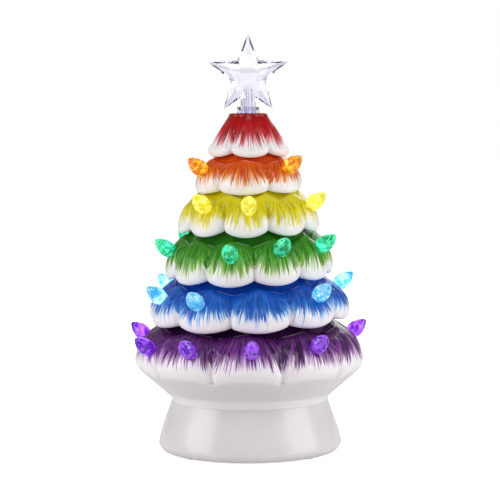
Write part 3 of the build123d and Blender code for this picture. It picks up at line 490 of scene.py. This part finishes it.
# A painted highlight: a pale line along the crest of each skirt below the red, in long broken stretches, mixed
# toward the white
off_crest = add_node(brushwork, "ShaderNodeMath", {0: mark}, operation="ABSOLUTE").outputs["Value"]
stretches = eased(sized_noise(30.0, 9.0, 0.0), 0.46, 0.54)
below_red = eased(readings["tier"].outputs["Fac"], 0.2, 0.8, 0.24)
crest_highlight = both(both(eased(off_crest, 0.045, 0.0), stretches), below_red)
white_and_keel_shade = readings["white_and_keel_shade"].outputs["Color"]
with_crest_highlight = layered(crest_highlight, deep, white_and_keel_shade)
painted = layered(eased(reach, -0.05, 0.12), with_crest_highlight, white_and_keel_shade)
# The necks and the hems are smooth
rough = both(eased(mark, 0.05, 0.35, 0.5), eased(mark, 1.15, 0.9))
bump = add_node(brushwork, "ShaderNodeBump", {"Height": bristles, "Distance": 0.12 * MM, "Strength": rough})
feed(brushwork, shader, base_color=painted, normal=bump.outputs["Normal"])

# Bulbs: little faceted push-in lights, moulded in tinted clear styrene and glued into the tree's holes.
# Each is a peg, a round flange and a head of twisted facets, with its mould edges slightly rounded.
FACET_EDGE = 0.12 * MM
FACET_PEAK = 0.3 * MM
FACET_AREA = 2.0 * MM * MM
FACET_GRID = 2.1 * MM
FACET_ANGLE = 8.0
MERGE_DISTANCE = 0.002 * MM
# Painted glow: the bulbs emit light, standing in for the light of the LEDs inside the tree
BULB_PAINTED_GLOW = 0.3
BULB_EDGE_SHARE = 0.85
BULB_TINTS = {"orange": ("#c47002", "#ffc82c"), "yellow": ("#d4c616", "#fff888"), "green": ("#029460", "#62ffd0"),
              "blue": ("#42c2ec", "#ccfbff"), "purple": ("#5a08b4", "#c070ff")}


def merged_copy(name):
    """A copy of a CAD node's mesh with its loose triangles joined into whole facets."""
    shape = bmesh.new()
    shape.from_mesh(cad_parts[name].data)
    bmesh.ops.remove_doubles(shape, verts=shape.verts, dist=MERGE_DISTANCE)
    bmesh.ops.dissolve_limit(shape, angle_limit=math.radians(1.0), verts=shape.verts, edges=shape.edges)
    return shape


def cut_facets(shape, edge_width, angle, most_corners, dullest, edge_share, segments):
    """Rounds a shape's edges. Each facet gets a painted glint from the dullest to 1, and its edges a share of it, as
    painted shade.
    """
    layer = shape.faces.layers.float.new("painted_glint")
    edges = soften(shape, edge_width, angle, segments)
    for face in shape.faces:
        chance = ease(0.35, 0.65, 0.5 + 0.5 * noise.cell(face.calc_center_median() / FACET_GRID))
        face[layer] = 1.0 if len(face.verts) > most_corners else dullest + (1 - dullest) * chance
    for face in edges:
        face[layer] *= edge_share


# Each bulb is its tinted styrene colour, painted pale on glinting facets as painted highlights, and glows with it as
# painted light
for tint, tones in BULB_TINTS.items():
    styrene, shader = new_material(f"{tint}_styrene", roughness=0.03, ior=1.55, transmission_weight=0.85)
    painted_glint = add_node(styrene, "ShaderNodeAttribute", attribute_name="painted_glint").outputs["Fac"]
    mixed = add_node(styrene, "ShaderNodeMix", {"Factor": painted_glint, 6: linear(tones[0]), 7: linear(tones[1])},
                     data_type="RGBA").outputs[2]
    feed(styrene, shader, base_color=mixed, emission_color=mixed)
    shader.inputs["Emission Strength"].default_value = BULB_PAINTED_GLOW
    for name in sorted(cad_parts):
        if name.startswith(f"{tint}_bulb_"):
            bulb = merged_copy(name)
            facets = [face for face in bulb.faces if face.calc_area() > FACET_AREA and len(face.verts) < 6]
            bmesh.ops.poke(bulb, faces=facets, offset=FACET_PEAK, center_mode="MEAN")
            cut_facets(bulb, FACET_EDGE, FACET_ANGLE, 6, 0.0, BULB_EDGE_SHARE, segments=1)
            new_piece(bulb, f"cut_{name}", styrene, "tree", f"{tint}_bulb", name)

# Star and its bush: clear acrylic, moulded with flat facets. The bush is pressed into the tree's top,
# and the star's round stem stands in it. Their colour is painted refraction: each facet a random tone from
# lavender-grey to near white, and the rounded edges darker, as painted shade.
STAR_EDGE = 0.25 * MM
STAR_PEAK = 0.35 * MM
STAR_FACET_AREA = 6.0 * MM * MM
STAR_FACET_ANGLE = 18.0
STAR_DULLEST = 0.6
STAR_EDGE_SHARE = 0.35
acrylic, shader = new_material("clear_acrylic", roughness=0.02, ior=1.49, transmission_weight=1.0)
painted_glint = add_node(acrylic, "ShaderNodeAttribute", attribute_name="painted_glint").outputs["Fac"]
# Painted refraction and shade: dull facets and edges lavender-grey, glinting facets near white
ramp = add_node(acrylic, "ShaderNodeValToRGB", {"Fac": painted_glint})
for element, position, tone in zip(ramp.color_ramp.elements, (0.0, 1.0), ("#b0b0d4", "#f6f6ff")):
    element.position, element.color = position, linear(tone)
feed(acrylic, shader, base_color=ramp.outputs["Color"])
for name, body in (("star_bush", "bush"), ("star", "star")):
    shape = merged_copy(name)
    facets = [face for face in shape.faces if face.calc_area() > STAR_FACET_AREA and len(face.verts) == 3]
    bmesh.ops.poke(shape, faces=facets, offset=STAR_PEAK, center_mode="MEAN")
    cut_facets(shape, STAR_EDGE, STAR_FACET_ANGLE, 3, STAR_DULLEST, STAR_EDGE_SHARE, segments=2)
    new_piece(shape, f"moulded_{name}", acrylic, body, "clear_star", name)

# Studio: a white paper floor and a white background, with soft square lamps at both sides, in front and behind.
# The floor is white to the eye and through clear pieces where it is lit, and keeps the tree's shadow.
FLOOR_REACH = 4.0
FLOOR_GLOW, FLOOR_GLOW_THROUGH = 0.75, 0.52
FILL_LIGHT = 0.3
LAMPS = (("key", (-1.0, -0.36, 0.5), 0.8, 6.6), ("side", (1.0, -0.36, 0.45), 0.8, 6.6),
         ("front", (0.0, -0.85, 1.15), 0.6, 3.0), ("rear", (0.2, 1.05, 0.75), 0.9, 5.0))
LAMP_AIM = 0.11
floor_shape = bmesh.new()
bmesh.ops.create_grid(floor_shape, x_segments=1, y_segments=1, size=FLOOR_REACH)
floor_mesh = bpy.data.meshes.new("floor")
floor_shape.to_mesh(floor_mesh)
floor_shape.free()
floor = bpy.data.objects.new("floor", floor_mesh)
bpy.context.scene.collection.objects.link(floor)
paper, shader = new_material("white_paper", roughness=1.0, base_color=linear("#f4f4f4"), specular_ior_level=0.0)
shader.inputs["Emission Color"].default_value = (1.0, 1.0, 1.0, 1.0)
rays = add_node(paper, "ShaderNodeLightPath").outputs
through = add_node(paper, "ShaderNodeMath", {0: rays["Is Transmission Ray"], 1: FLOOR_GLOW_THROUGH},
                   operation="MULTIPLY")
glow = add_node(paper, "ShaderNodeMath", {0: rays["Is Camera Ray"], 1: FLOOR_GLOW, 2: through.outputs["Value"]},
                operation="MULTIPLY_ADD")
feed(paper, shader, emission_strength=glow.outputs["Value"])
floor_mesh.materials.append(paper)
floor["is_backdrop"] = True

world = bpy.data.worlds.new("studio")
world.use_nodes = True
bpy.context.scene.world = world
backdrop = world.node_tree.nodes["Background"]
rays = add_node(world, "ShaderNodeLightPath")
seen = add_node(world, "ShaderNodeMath", {0: rays.outputs["Is Camera Ray"], 1: rays.outputs["Is Transmission Ray"]},
                operation="MAXIMUM")
level = add_node(world, "ShaderNodeMapRange", {"Value": seen.outputs["Value"], "To Min": FILL_LIGHT, "To Max": 1.0})
world.node_tree.links.new(level.outputs["Result"], backdrop.inputs["Strength"])
backdrop.inputs["Color"].default_value = (1.0, 1.0, 1.0, 1.0)

aim = Vector((0.0, 0.0, LAMP_AIM))
for name, spot, size, power in LAMPS:
    lamp = bpy.data.lights.new(name, "AREA")
    lamp.shape, lamp.size, lamp.energy = "SQUARE", size, power
    lamp_object = bpy.data.objects.new(name, lamp)
    lamp_object.location = spot
    lamp_object.rotation_euler = (aim - Vector(spot)).to_track_quat("-Z", "Y").to_euler()
    lamp_object.visible_transmission = spot[1] < 0  # the rear lamp isn't seen through the clear star
    bpy.context.scene.collection.objects.link(lamp_object)

# Camera: a long lens, level with the star and well back, looking slightly down on the tree.
# It is turned by a hair, as the photograph is.
CAMERA_DISTANCE = 1.222
CAMERA_HEIGHT = 0.2286
AIM_HEIGHT = 0.1223
LENS = 144.6
SENSOR = 36.0
CAMERA_SIDE = 0.0006
CAMERA_ROLL = math.radians(-0.3)
camera = bpy.data.objects.new("camera", bpy.data.cameras.new("camera"))
camera.data.lens = LENS
camera.data.sensor_width = SENSOR
camera.location = (CAMERA_SIDE, -CAMERA_DISTANCE, CAMERA_HEIGHT)
view = (Vector((CAMERA_SIDE, 0.0, AIM_HEIGHT)) - camera.location).to_track_quat("-Z", "Y")
camera.rotation_euler = (view @ Quaternion((0, 0, 1), CAMERA_ROLL)).to_euler()
bpy.context.scene.collection.objects.link(camera)
bpy.context.scene.camera = camera
bpy.context.scene.view_settings.view_transform = "Standard"

low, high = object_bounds()
